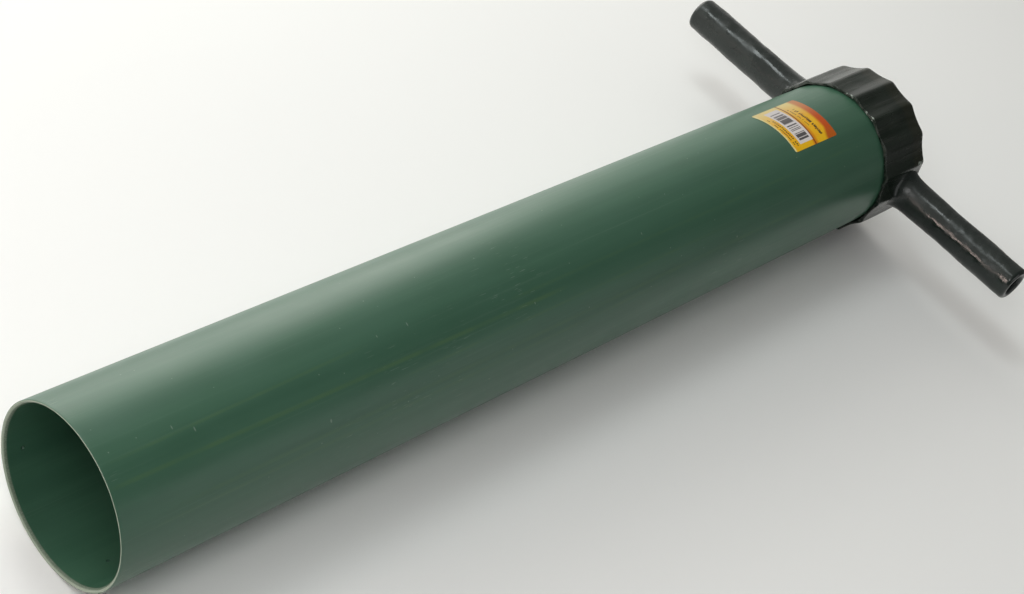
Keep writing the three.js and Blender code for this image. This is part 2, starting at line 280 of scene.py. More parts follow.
class Shader:
    """A node material. Its methods add a node and return the socket that carries the result."""

    def __init__(self, name):
        self.material = bpy.data.materials.new(name)
        self.material.use_nodes = True
        self.tree = self.material.node_tree
        self.tree.nodes.clear()
        self.surface = self.tree.nodes.new("ShaderNodeBsdfPrincipled")
        output = self.tree.nodes.new("ShaderNodeOutputMaterial")
        self.tree.links.new(self.surface.outputs["BSDF"], output.inputs["Surface"])
        place = self.tree.nodes.new("ShaderNodeTexCoord")
        self.place = place.outputs["Object"]
        self.uv = place.outputs["UV"]

    def node(self, kind, inputs=None, **settings):
        made = self.tree.nodes.new(kind)
        for key, value in settings.items():
            setattr(made, key, value)
        for key, value in (inputs or {}).items():
            self.put(made.inputs[key], value)
        return made

    def put(self, socket, value):
        if isinstance(value, bpy.types.NodeSocket):
            self.tree.links.new(value, socket)
        elif value is not None:
            socket.default_value = value

    def set(self, **values):
        """Sets the surface's inputs; an underscore in a name stands for a space."""
        for key, value in values.items():
            self.put(self.surface.inputs[key.replace("_", " ")], value)

    def math(self, operation, a, b=None, c=None, clamp=False):
        made = self.node("ShaderNodeMath", operation=operation, use_clamp=clamp)
        for socket, value in zip(made.inputs, (a, b, c)):
            self.put(socket, value)
        return made.outputs[0]

    def linear(self, value, factor, offset):
        return self.math("MULTIPLY_ADD", value, factor, offset)

    def product(self, first, *others):
        for value in others:
            first = self.math("MULTIPLY", first, value)
        return first

    def ramp(self, value, low, high, to_low=0.0, to_high=1.0):
        """A smooth step of value from low to high."""
        made = self.node("ShaderNodeMapRange", interpolation_type="SMOOTHSTEP")
        for socket, number in zip(made.inputs, (value, low, high, to_low, to_high)):
            self.put(socket, number)
        return made.outputs[0]

    def band(self, value, low, high, soft):
        """1 between low and high, falling to 0 over the soft distance outside."""
        rise = self.ramp(value, low - soft, low)
        fall = self.ramp(value, high, high + soft)
        return self.math("SUBTRACT", rise, fall, clamp=True)

    def mix(self, share, a, b, blend="MIX"):
        made = self.node("ShaderNodeMix", data_type="RGBA", blend_type=blend)
        self.put(made.inputs["Factor"], share)
        self.put(made.inputs[6], a)
        self.put(made.inputs[7], b)
        return made.outputs[2]

    def stretch(self, scale, vector=None):
        """The place, or another vector, scaled along each axis."""
        made = self.node("ShaderNodeVectorMath", operation="MULTIPLY")
        self.put(made.inputs[0], vector or self.place)
        made.inputs[1].default_value = scale
        return made.outputs[0]

    def noise(self, scale, detail=3.0, roughness=0.5, vector=None):
        made = self.node("ShaderNodeTexNoise", {"Scale": scale, "Detail": detail, "Roughness": roughness})
        self.put(made.inputs["Vector"], vector or self.place)
        return made.outputs["Fac"]

    def cells(self, scale):
        """Distance to the nearest of scattered points."""
        made = self.node("ShaderNodeTexVoronoi", {"Scale": scale, "Vector": self.place})
        return made.outputs["Distance"]

    def random(self, value, seed=None):
        """A number from 0 to 1 that is the same wherever value is the same."""
        if seed is None:
            made = self.node("ShaderNodeTexWhiteNoise", {"W": value}, noise_dimensions="1D")
        else:
            pair = self.node("ShaderNodeCombineXYZ", {"X": value, "Y": seed}).outputs[0]
            made = self.node("ShaderNodeTexWhiteNoise", {"Vector": pair}, noise_dimensions="2D")
        return made.outputs["Value"]

    def axes(self, vector=None):
        made = self.node("ShaderNodeSeparateXYZ")
        self.put(made.inputs[0], vector or self.place)
        return made.outputs

    def angle_degrees(self):
        """Angle about the pipe's axis; its seam faces the floor."""
        _, y, z = self.axes()
        up = self.math("SUBTRACT", z, AXIS_HEIGHT)
        turned = self.math("ARCTAN2", y, up)
        return self.math("SUBTRACT", 90.0, self.math("DEGREES", turned))

    def radius(self):
        _, y, z = self.axes()
        up = self.math("SUBTRACT", z, AXIS_HEIGHT)
        across = self.math("MULTIPLY", y, y)
        return self.math("SQRT", self.math("MULTIPLY_ADD", up, up, across))

    def bump(self, height, strength, distance, normal=None):
        made = self.node("ShaderNodeBump", {"Strength": strength, "Distance": distance, "Height": height})
        if normal is not None:
            self.put(made.inputs["Normal"], normal)
        return made.outputs["Normal"]

    def edges(self, low, high):
        """1 on raised edges, 0 on flats, from the mesh's curvature."""
        made = self.node("ShaderNodeNewGeometry")
        return self.ramp(made.outputs["Pointiness"], low, high)


def rgb(red, green, blue):
    return (red, green, blue, 1.0)


# ---- Materials ----

EXTRUSION_LINES = [
    # (start and end from the mouth, angle in degrees at the start and at the end, width, strength)
    (5 * MM, 520 * MM, 127.5, 130.0, 3.6 * MM, 0.75),
    (20 * MM, 285 * MM, 114.0, 111.5, 2.6 * MM, 0.55),
    (300 * MM, 760 * MM, 139.0, 138.0, 2.2 * MM, 0.40),
    (60 * MM, 930 * MM, 152.0, 151.0, 3.6 * MM, 0.35),
    (430 * MM, 980 * MM, 122.5, 123.5, 2.8 * MM, 0.30),
    (30 * MM, 640 * MM, 158.5, 157.5, 3.0 * MM, 0.30),
]

NICKS = [
    # (distance from the mouth, angle in degrees, half length, half width)
    (86 * MM, 116.0, 0.60 * MM, 2.0 * MM),
    (69 * MM, 110.0, 0.50 * MM, 1.7 * MM),
    (314 * MM, 110.2, 0.60 * MM, 1.8 * MM),
    (280 * MM, 109.5, 0.50 * MM, 1.2 * MM),
    (208 * MM, 144.7, 0.90 * MM, 1.6 * MM),
    (455 * MM, 131.0, 0.60 * MM, 1.2 * MM),
    (612 * MM, 118.0, 0.60 * MM, 1.3 * MM),
    (743 * MM, 149.0, 0.80 * MM, 1.0 * MM),
]

PIPE_GREEN = rgb(0.036, 0.101, 0.061)
PIPE_GREEN_LIGHT = rgb(0.045, 0.118, 0.072)
PIPE_GREEN_CLOUD = rgb(0.046, 0.119, 0.078)
PIPE_STREAK = rgb(0.105, 0.185, 0.130)
PIPE_SCUFF = rgb(0.36, 0.43, 0.37)
PIPE_LINE = rgb(0.062, 0.135, 0.062)
PIPE_CUT_FACE_AND_HIGHLIGHT = rgb(0.27, 0.32, 0.25)
PIPE_CUT_BEVEL = rgb(0.085, 0.125, 0.082)
PIPE_CUT_SAWN = rgb(0.40, 0.45, 0.38)


def pipe_lines(s, along, angle):
    """Mask of the die lines along the pipe."""
    lines = 0.0
    for start, end, first, last, width, strength in EXTRUSION_LINES:
        share = s.math("DIVIDE", s.math("SUBTRACT", along, start), end - start)
        middle = s.linear(share, last - first, first)
        away = s.math("ABSOLUTE", s.math("SUBTRACT", angle, middle))
        half = math.degrees(width / TUBE_RADIUS) / 2
        line = s.ramp(away, half * 0.3, half * 1.6, strength, 0.0)
        fade = s.band(along, start + 25 * MM, end - 60 * MM, 50 * MM)
        lines = s.math("MAXIMUM", lines, s.product(line, fade))
    patchy = s.ramp(s.noise(30.0, detail=2.0, vector=s.stretch((1.0, 0.2, 0.2))), 0.35, 0.6, 0.5, 1.0)
    return s.product(lines, patchy)


def pipe_scratches(s, outside):
    """Mask of the fine scratches and specks on the outside."""
    scratches = s.ramp(s.noise(1300.0, detail=0.0, vector=s.stretch((0.06, 1.0, 1.0))), 0.755, 0.80)
    where = s.ramp(s.noise(9.0, detail=1.0), 0.50, 0.62)
    scratches = s.product(scratches, where, 0.22)
    specks = s.ramp(s.cells(70.0), 0.03, 0.055, 0.28, 0.0)
    return s.product(s.math("MAXIMUM", scratches, specks), outside)


def pipe_nicks(s, along, angle):
    """Mask of the single nicks."""
    nicks = 0.0
    for distance, at, half_length, half_width in NICKS:
        lengthwise = s.math("DIVIDE", s.math("SUBTRACT", along, distance), half_length)
        across = s.math("DIVIDE", s.math("SUBTRACT", angle, at), math.degrees(half_width / TUBE_RADIUS))
        far = s.math("ADD", s.math("POWER", lengthwise, 2.0), s.math("POWER", across, 2.0))
        nicks = s.math("MAXIMUM", nicks, s.ramp(far, 0.1, 1.8, 1.0, 0.0))
    return nicks


def pipe_material():
    """Satin green extruded plastic with die lines, nicks and fine scratches, paler where it is cut, partly as
    a painted highlight on the mouth's rim.
    """
    s = Shader("pipe_green_plastic")
    x, _, _ = s.axes()
    along = s.math("SUBTRACT", x, MOUTH)
    angle = s.angle_degrees()
    from_axis = s.radius()
    broad = s.noise(60.0, detail=2.0, vector=s.stretch((0.05, 1.0, 1.0)))
    streaks = s.noise(420.0, detail=3.0, roughness=0.6, vector=s.stretch((0.008, 1.0, 1.0)))
    clouds = s.noise(14.0, detail=3.0)
    colour = s.mix(s.ramp(broad, 0.3, 0.7), PIPE_GREEN, PIPE_GREEN_LIGHT)
    colour = s.mix(s.ramp(clouds, 0.35, 0.75, 0.0, 0.35), colour, PIPE_GREEN_CLOUD)
    colour = s.mix(s.ramp(streaks, 0.56, 0.80, 0.0, 0.25), colour, PIPE_STREAK)
    colour = s.mix(pipe_lines(s, along, angle), colour, PIPE_LINE)
    outside = s.ramp(from_axis, TUBE_RADIUS - 1.2 * MM, TUBE_RADIUS - 0.6 * MM)
    nicks = pipe_nicks(s, along, angle)
    marks = s.math("MAXIMUM", pipe_scratches(s, outside), s.product(nicks, 0.32))
    colour = s.mix(marks, colour, PIPE_SCUFF)

    # Painted highlight: the cut face at the mouth is made pale, partly its own cut colour and partly a
    # highlight on the rim.
    at_mouth = s.ramp(along, MOUTH_BEVEL_LENGTH, MOUTH_BEVEL_LENGTH + 0.8 * MM, 1.0, 0.0)
    under_skin = s.ramp(from_axis, TUBE_RADIUS - 0.50 * MM, TUBE_RADIUS - 0.25 * MM, 1.0, 0.0)
    sawn = s.product(at_mouth, under_skin)
    on_face = s.ramp(from_axis, TUBE_RADIUS - 2.8 * MM, TUBE_RADIUS - 2.1 * MM)
    cut_colour_and_highlight = s.mix(on_face, PIPE_CUT_BEVEL, PIPE_CUT_FACE_AND_HIGHLIGHT)
    saw_marks = s.ramp(s.noise(900.0, detail=4.0), 0.4, 0.65, 0.0, 0.15)
    cut_colour_and_highlight = s.mix(saw_marks, cut_colour_and_highlight, PIPE_CUT_SAWN)
    colour = s.mix(sawn, colour, cut_colour_and_highlight)

    rough = s.linear(streaks, 0.16, 0.27)
    rough = s.linear(s.ramp(clouds, 0.3, 0.7), 0.05, rough)
    rough = s.math("MAXIMUM", rough, s.product(marks, 0.8))
    rough = s.linear(sawn, 0.25, rough)
    grain = s.noise(2600.0, detail=2.0)
    height = s.linear(streaks, 0.7, s.product(grain, 0.10))
    height = s.math("SUBTRACT", height, s.product(nicks, 0.8))
    s.set(Base_Color=colour, Roughness=rough, IOR=1.50, Normal=s.bump(height, 0.35, 0.05 * MM))
    return s.material


LIP_GLINTS = [(83.0, 87.0), (104.0, 112.0)]  # where painted glints sit on the lip, drawn as pale chip marks, in degrees
GLINT_RIDGE = (156.0, 159.0)  # the ridge beside a grip with a painted glint at its far end, in degrees

HEAD_BLACK = rgb(0.0050, 0.0105, 0.0062)
HEAD_BLACK_LIGHT = rgb(0.0090, 0.0155, 0.0100)
HEAD_SHOULDER_SHADING = rgb(0.015, 0.017, 0.008)
HEAD_STREAK = rgb(0.020, 0.024, 0.019)
HEAD_EDGE_HIGHLIGHT = rgb(0.095, 0.100, 0.088)
HEAD_GLINT = rgb(0.30, 0.34, 0.30)
HEAD_SCUFF = rgb(0.11, 0.11, 0.10)


def head_glints(s, x):
    """Mask of the painted glints: pale chip marks in the lip and a pale far end of one ridge."""
    angle = s.angle_degrees()
    at_lip = s.ramp(x, JACKET_START + 0.6 * MM, JACKET_START + 1.8 * MM, 1.0, 0.0)
    glint_breakup = s.ramp(s.noise(190.0, detail=3.0), 0.50, 0.62)
    glint_bands = 0.0
    for first, last in LIP_GLINTS:
        glint_bands = s.math("MAXIMUM", glint_bands, s.band(angle, first, last, 2.0))
    far_end = s.band(x, JACKET_END - 15 * MM, JACKET_END - 5 * MM, 3 * MM)
    fade_and_glint = s.ramp(s.noise(260.0, detail=3.0), 0.40, 0.60)
    fade_and_glint = s.product(s.band(angle, *GLINT_RIDGE, 1.0), far_end, fade_and_glint)
    return s.math("MAXIMUM", s.product(at_lip, glint_breakup, glint_bands), fade_and_glint)


def head_material():
    """Satin black moulding with streaks along it, scuffs, painted highlights on its raised edges, painted
    glints as a few pale chip marks, and a painted shading band towards its closed end.
    """
    s = Shader("head_black_moulding")
    x, _, _ = s.axes()
    grain = s.noise(1400.0, detail=3.0)
    clouds = s.noise(30.0, detail=3.0)
    streaks = s.noise(150.0, detail=3.0, vector=s.stretch((0.12, 1.0, 1.0)))
    colour = s.mix(s.ramp(clouds, 0.35, 0.7), HEAD_BLACK, HEAD_BLACK_LIGHT)
    # Painted shading: an olive band towards the closed end, where the shoulder curves round.
    shoulder_shading = s.ramp(x, JACKET_END - 30 * MM, JACKET_END - 18 * MM, 0.0, 0.7)
    colour = s.mix(shoulder_shading, colour, HEAD_SHOULDER_SHADING)
    colour = s.mix(s.ramp(streaks, 0.52, 0.72, 0.0, 0.45), colour, HEAD_STREAK)
    # Painted highlights: the raised edges, ridges and lip, are made paler.
    edge_highlight = s.product(s.edges(0.515, 0.56), s.ramp(s.noise(120.0), 0.40, 0.62), 0.60)
    colour = s.mix(edge_highlight, colour, HEAD_EDGE_HIGHLIGHT)
    # Painted glints on the lip and at one ridge's far end.
    colour = s.mix(head_glints(s, x), colour, HEAD_GLINT)
    scuffs = s.ramp(s.noise(260.0, detail=5.0, roughness=0.7), 0.63, 0.70)
    scuffs = s.product(scuffs, s.ramp(s.noise(22.0), 0.52, 0.68))
    colour = s.mix(s.product(scuffs, 0.5), colour, HEAD_SCUFF)
    rough = s.linear(clouds, 0.10, 0.14)
    rough = s.linear(streaks, 0.14, rough)
    rough = s.linear(scuffs, 0.2, rough)
    height = s.linear(streaks, 8.0, s.product(grain, 0.35))
    dull_streaks = s.ramp(s.noise(95.0, detail=3.0, vector=s.stretch((0.05, 1.0, 1.0))), 0.42, 0.62)
    shine = s.linear(dull_streaks, -0.38, 0.64)
    s.set(Base_Color=colour, Roughness=rough, IOR=1.50, Specular_IOR_Level=shine)
    s.set(Normal=s.bump(height, 0.35, 0.10 * MM))
    return s.material


GRIP_DARK = rgb(0.007, 0.012, 0.010)
GRIP_LIGHT = rgb(0.012, 0.018, 0.015)
GRIP_DUST = rgb(0.12, 0.13, 0.12)


def grip_material():
    """Glossy dark green dipped coating: uneven, with small pimples and a little dust."""
    s = Shader("grip_green_coating")
    clouds = s.noise(35.0, detail=3.0)
    colour = s.mix(s.ramp(clouds, 0.35, 0.7), GRIP_DARK, GRIP_LIGHT)
    dust = s.ramp(s.noise(420.0, detail=4.0, roughness=0.7), 0.62, 0.72, 0.0, 0.25)
    colour = s.mix(dust, colour, GRIP_DUST)
    lumps = s.noise(75.0, detail=3.0, roughness=0.55)
    skin = s.noise(330.0, detail=3.0)
    patches = s.ramp(s.noise(45.0, detail=2.0), 0.40, 0.60)
    rough = s.linear(patches, 0.16, 0.15)
    rough = s.linear(dust, 0.6, rough)
    normal = s.bump(lumps, 0.50, 1.0 * MM)
    normal = s.bump(skin, 0.35, 0.2 * MM, normal)
    s.set(Base_Color=colour, Roughness=rough, IOR=1.53, Normal=normal)
    return s.material


IRON_DARK = rgb(0.060, 0.060, 0.062)
IRON_LIGHT = rgb(0.105, 0.100, 0.096)
IRON_RUST = rgb(0.110, 0.055, 0.030)


def cast_material():
    """Rough grey cast iron with a sandy skin and thin rust."""
    s = Shader("cast_iron")
    sand = s.noise(600.0, detail=5.0, roughness=0.65)
    clouds = s.noise(40.0, detail=4.0)
    colour = s.mix(s.ramp(clouds, 0.3, 0.7), IRON_DARK, IRON_LIGHT)
    rust = s.ramp(s.noise(90.0, detail=5.0), 0.58, 0.72, 0.0, 0.6)
    colour = s.mix(rust, colour, IRON_RUST)
    rough = s.linear(sand, 0.25, 0.50)
    s.set(Base_Color=colour, Metallic=0.6, Roughness=rough, Normal=s.bump(sand, 0.7, 0.3 * MM))
    return s.material


STEEL_GREY = rgb(0.36, 0.36, 0.36)
STEEL_LIGHT = rgb(0.50, 0.50, 0.49)
STEEL_STAIN = rgb(0.16, 0.13, 0.10)
BORE_SHADE_BLACK = rgb(0.006, 0.007, 0.006)
BORE_SHADE_LIGHT = rgb(0.016, 0.015, 0.014)


def steel_material():
    """Plain steel with a fine grain, stains and bruises, painted near black in the grips as shade in the
    bore.
    """
    s = Shader("plain_steel")
    clouds = s.noise(55.0, detail=4.0)
    fine = s.noise(1500.0, detail=3.0)
    bruise = s.ramp(s.noise(160.0, detail=3.0), 0.55, 0.68)
    colour = s.mix(s.ramp(clouds, 0.35, 0.7), STEEL_GREY, STEEL_LIGHT)
    colour = s.mix(s.product(bruise, 0.5), colour, STEEL_STAIN)
    _, y, _ = s.axes()
    in_grip = s.ramp(s.math("ABSOLUTE", y), RIDGE_RADIUS, RIDGE_RADIUS + 20 * MM)
    # Painted shade: inside the grips the steel is made near black, so the bore at each grip's end looks dark.
    bore_shade = s.mix(s.ramp(clouds, 0.35, 0.7), BORE_SHADE_BLACK, BORE_SHADE_LIGHT)
    colour = s.mix(in_grip, colour, bore_shade)
    rough = s.linear(clouds, 0.25, 0.26)
    rough = s.linear(bruise, 0.15, rough)
    rough = s.linear(in_grip, 0.30, rough)
    metal = s.linear(in_grip, -0.90, 0.95)
    shine = s.linear(in_grip, -0.35, 0.5)
    height = s.linear(fine, 0.2, s.product(bruise, -1.0))
    s.set(Base_Color=colour, Metallic=metal, Roughness=rough, Specular_IOR_Level=shine)
    s.set(Normal=s.bump(height, 0.4, 0.1 * MM))
    return s.material


YELLOW = rgb(0.90, 0.52, 0.008)
YELLOW_DEEP = rgb(0.92, 0.44, 0.004)
YELLOW_PALE = rgb(0.88, 0.80, 0.40)
ORANGE = rgb(0.62, 0.15, 0.004)
ORANGE_RED = rgb(0.58, 0.080, 0.002)
ORANGE_BROWN = rgb(0.50, 0.115, 0.005)
ORANGE_SHEEN = rgb(0.68, 0.27, 0.095)
DARK_RED = rgb(0.22, 0.030, 0.006)
PANEL_WHITE = rgb(0.77, 0.72, 0.70)
PRINT_DARK = rgb(0.035, 0.030, 0.035)
DASH_DARK = rgb(0.030, 0.015, 0.010)
LABEL_NEAR_SIDE_TINT = rgb(1.0, 1.0, 1.0)
LABEL_FAR_SIDE_TINT = rgb(0.60, 0.60, 0.62)  # what the colours are multiplied by at the label's far side

DASH_ROWS = [
    # (middle along the label, height, first and last place across, width of one dash, seed), in millimetres
    (9.2, 2.4, 6.0, 47.0, 2.4, 1.0),
    (5.2, 2.0, 8.0, 50.0, 2.0, 2.0),
    (45.0, 1.7, 20.0, 53.0, 1.7, 3.0),
    (51.5, 4.2, 8.0, 50.0, 1.9, 4.0),
    (52.0, 3.6, 9.0, 30.0, 1.3, 5.0),
]


def label_bars(s, across, along):
    """Mask of the plain bars on the panel. They hold no code: each stripe is dark or pale at random."""
    stripe = s.math("SNAP", across, 0.85)
    dark = s.ramp(s.random(stripe), 0.41, 0.43)
    bars = s.product(dark, s.band(along, 16.5, 32.5, 0.3), s.band(across, 10.0, 55.0, 0.2))
    # The bars fade towards the far side.
    fade_and_glint = s.ramp(across, 30.0, 55.0, 0.92, 0.72)
    return s.product(bars, fade_and_glint)


def label_dashes(s, across, along, wobble, row):
    """Mask of one row of short dashes that stands for a line of print."""
    middle, height, low, high, gap, seed = row
    start = s.math("SNAP", across, gap)
    pick = s.random(start, seed)
    lift = s.linear(pick, height * 0.5, middle - height * 0.25)
    wavy = s.linear(wobble, 0.3, along)
    away = s.math("ABSOLUTE", s.math("SUBTRACT", wavy, lift))
    dash = s.ramp(away, height * 0.30, height * 0.55, 1.0, 0.0)
    inside = s.math("SUBTRACT", s.linear(wobble, 0.25, across), start)
    printed = s.ramp(pick, 0.18, 0.22)
    dash = s.product(dash, printed, s.band(inside, gap * 0.20, gap * 0.72, gap * 0.15))
    return s.product(dash, s.band(across, low, high, 0.4), 0.95)


def label_material():
    """Printed sticker: a yellow field, a pale panel with plain bars, rows of dashes and an orange-red band.

    Its UV map holds millimetres divided by 100: across the pipe, and along it from the mouth's side.
    """
    s = Shader("label_print")
    across, along, _ = s.axes(s.stretch((100.0, 100.0, 1.0), s.uv))
    wobble = s.linear(s.noise(900.0, detail=2.0), 1.6, -0.8)
    field = s.noise(120.0, detail=3.0)
    colour = s.mix(s.ramp(field, 0.35, 0.7), YELLOW, YELLOW_DEEP)
    # Painted reflection: the yellow washes out pale towards the far side.
    colour = s.mix(s.ramp(across, 30.0, 72.0, 0.0, 0.75), colour, YELLOW_PALE)
    slow = s.linear(s.noise(160.0, detail=2.0), 5.0, -2.5)
    edge = s.ramp(s.math("ADD", along, slow), 0.8, 2.8, 0.9, 0.0)
    colour = s.mix(edge, colour, YELLOW_PALE)

    panel = s.product(s.band(along, 13.5, 36.0, 0.4), s.band(across, 6.5, 60.5, 0.4))
    colour = s.mix(panel, colour, PANEL_WHITE)
    colour = s.mix(label_bars(s, across, along), colour, PRINT_DARK)
    for row in DASH_ROWS:
        colour = s.mix(label_dashes(s, across, along, wobble, row), colour, DASH_DARK)

    slant = s.linear(across, -0.085, along)
    glow = s.product(s.band(slant, 34.5, 38.0, 4.0), s.ramp(across, 6.0, 45.0, 0.7, 0.1))
    outside_panel = s.math("SUBTRACT", 1.0, panel)
    colour = s.mix(s.product(glow, outside_panel), colour, ORANGE)
    line = s.band(slant, 34.9, 36.3, 0.45)
    colour = s.mix(s.product(line, 0.9), colour, DARK_RED)
    bow = s.ramp(across, 0.0, 16.0, -6.0, 0.0)
    edge_along = s.math("SUBTRACT", s.math("ADD", along, s.product(wobble, 0.5)), bow)
    warm = s.ramp(edge_along, 59.0, 65.5)
    # Painted reflection: the orange-red band washes out pale towards the far side.
    reddest = s.mix(s.ramp(across, 26.0, 62.0), ORANGE_RED, ORANGE_SHEEN)
    reddest = s.mix(s.ramp(across, 3.0, 17.0, 0.9, 0.0), reddest, ORANGE_BROWN)
    colour = s.mix(warm, colour, reddest)
    # Darker towards the label's far side.
    side_tint = s.mix(s.ramp(across, -10.0, 72.0), LABEL_NEAR_SIDE_TINT, LABEL_FAR_SIDE_TINT)
    colour = s.mix(1.0, colour, side_tint, blend="MULTIPLY")
    rough = s.linear(field, 0.15, 0.30)
    s.set(Base_Color=colour, Roughness=rough, IOR=1.42, Normal=s.bump(field, 0.15, 0.1 * MM))
    return s.material


FLOOR_WHITE = rgb(0.90, 0.90, 0.89)
FLOOR_WHITE_LIGHT = rgb(0.93, 0.93, 0.92)


def floor_material():
    """Matt white, faintly uneven."""
    s = Shader("white_floor")
    clouds = s.noise(0.8, detail=2.0)
    colour = s.mix(clouds, FLOOR_WHITE, FLOOR_WHITE_LIGHT)
    fine = s.noise(300.0, detail=2.0)
    s.set(Base_Color=colour, Roughness=0.9, Normal=s.bump(fine, 0.05, 0.2 * MM))
    return s.material


# ---- Pieces ----


def pipe_body(material):
    """The pipe, open at both ends, with a bevelled mouth, two drilled holes and its screw holes."""
    outline = []
    for turn in reversed(np.linspace(0, math.pi / 2, 5)):
        x = MOUTH + MOUTH_EDGE_ROUND * (1 - math.sin(turn))
        outline.append((x, TUBE_RADIUS - MOUTH_EDGE_ROUND * (1 - math.cos(turn))))
    bore_start = MOUTH + 1.2 * MOUTH_BEVEL_LENGTH
    outline += [(x, TUBE_RADIUS) for x in steps(MOUTH + 3 * MM, TUBE_END, TUBE_RING_SPACING)]
    outline += [(x, TUBE_BORE) for x in steps(TUBE_END, bore_start, TUBE_RING_SPACING)]
    outline.append((MOUTH + MOUTH_BEVEL_LENGTH, TUBE_BORE))
    slope_depth, slope_inset = MOUTH_FACE_SLOPE
    outline.append((MOUTH + slope_depth, TUBE_RADIUS - slope_inset))
    outline.append((MOUTH, TUBE_RADIUS - MOUTH_FACE))
    x = np.array([point[0] for point in outline])[:, None]
    radius = np.array([point[1] for point in outline])[:, None]
    angle = circle_angles(TUBE_SIDES)[None, :]
    rings = polar(x, radius, angle)
    oval = TUBE_OVAL * np.cos(2 * angle + 0.7 + 3.0 * x) + TUBE_UNEVEN * ripple(rings, 120 * MM, 1)
    rings = polar(x, radius + oval, angle)
    near_mouth = np.clip(1 - (x - MOUTH) / MOUTH_UNEVEN_REACH, 0, 1)
    rings[..., 0] += MOUTH_UNEVEN * near_mouth * ripple(rings, 9 * MM, 2)
    body = ringed_body("pipe_body", rings, material, closed=True)
    cutters = []
    for distance, degrees in MOUTH_HOLES:
        cutters.append(wall_drill(distance, math.radians(degrees), MOUTH_HOLE_RADIUS, material, tip=True))
    for i in range(TUBE_SCREWS):
        turn = math.radians(TUBE_SCREW_FIRST_DEGREES + 360 * i / TUBE_SCREWS)
        cutters.append(wall_drill(TUBE_SCREW_DISTANCE, turn, TUBE_SCREW_HOLE, material))
    return cut(body, cutters)


def wall_drill(distance, angle, radius, material, tip=False):
    """A cutter through the pipe's wall. With tip, it tapers and its point just breaks through."""
    inner = polar(MOUTH + distance, 0.9 * TUBE_BORE, angle)
    outer = polar(MOUTH + distance, 1.1 * TUBE_RADIUS, angle)
    if not tip:
        return rod("hole_cutter", inner, outer, radius, material)
    full = polar(MOUTH + distance, TUBE_RADIUS - MOUTH_HOLE_TAPER, angle)
    point = polar(MOUTH + distance, TUBE_RADIUS + MOUTH_HOLE_POINT, angle)
    return rod("hole_cutter", inner, full, radius, material, point=point)


def flute_table(samples=256):
    """Distance from the axis to the fluted outline over one flute, from ridge to ridge, ridges softened."""
    step = 2 * math.pi / FLUTES
    chord = RIDGE_RADIUS * math.cos(step / 2)
    control = 2 * VALLEY_RADIUS - chord
    t = np.linspace(0, 1, 4 * samples + 1)
    inward = chord + (control - chord) * 2 * t * (1 - t)
    sideways = RIDGE_RADIUS * math.sin(step / 2) * (2 * t - 1)
    angle = np.arctan2(sideways, inward) / step + 0.5
    share = np.arange(samples) / samples
    radius = np.interp(share, angle, np.hypot(inward, sideways))
    spread = RIDGE_SOFTNESS_DEGREES / math.degrees(step) * samples
    wave = np.fft.fftfreq(samples, 1 / samples)
    soft = np.exp(-0.5 * (2 * math.pi * wave * spread / samples) ** 2)
    smooth = np.real(np.fft.ifft(np.fft.fft(radius) * soft))
    return smooth + (RIDGE_RADIUS - smooth.max())


FLUTE_PROFILE = flute_table()


def flute_radius(angle):
    """The fluted outline's distance from the axis at an angle. A ridge lies on each handle's line."""
    share = np.mod(angle * FLUTES / (2 * math.pi), 1) * len(FLUTE_PROFILE)
    return np.interp(share, np.arange(len(FLUTE_PROFILE) + 1), np.append(FLUTE_PROFILE, FLUTE_PROFILE[0]))


def jacket_radius(x, angle):
    """Outside of the jacket's wall: fluted, and a little smaller at the lip and at the closed end."""
    flutes = flute_radius(angle)
    draft = LIP_DRAFT * np.clip(1 - (x - JACKET_START) / LIP_DRAFT_LENGTH, 0, 1) ** 2
    shoulder = JACKET_END - TOP_LEAN_LENGTH
    lean = TOP_LEAN * np.clip((x - shoulder) / (JACKET_END - shoulder), 0, 1) ** 2
    return flutes - draft - lean


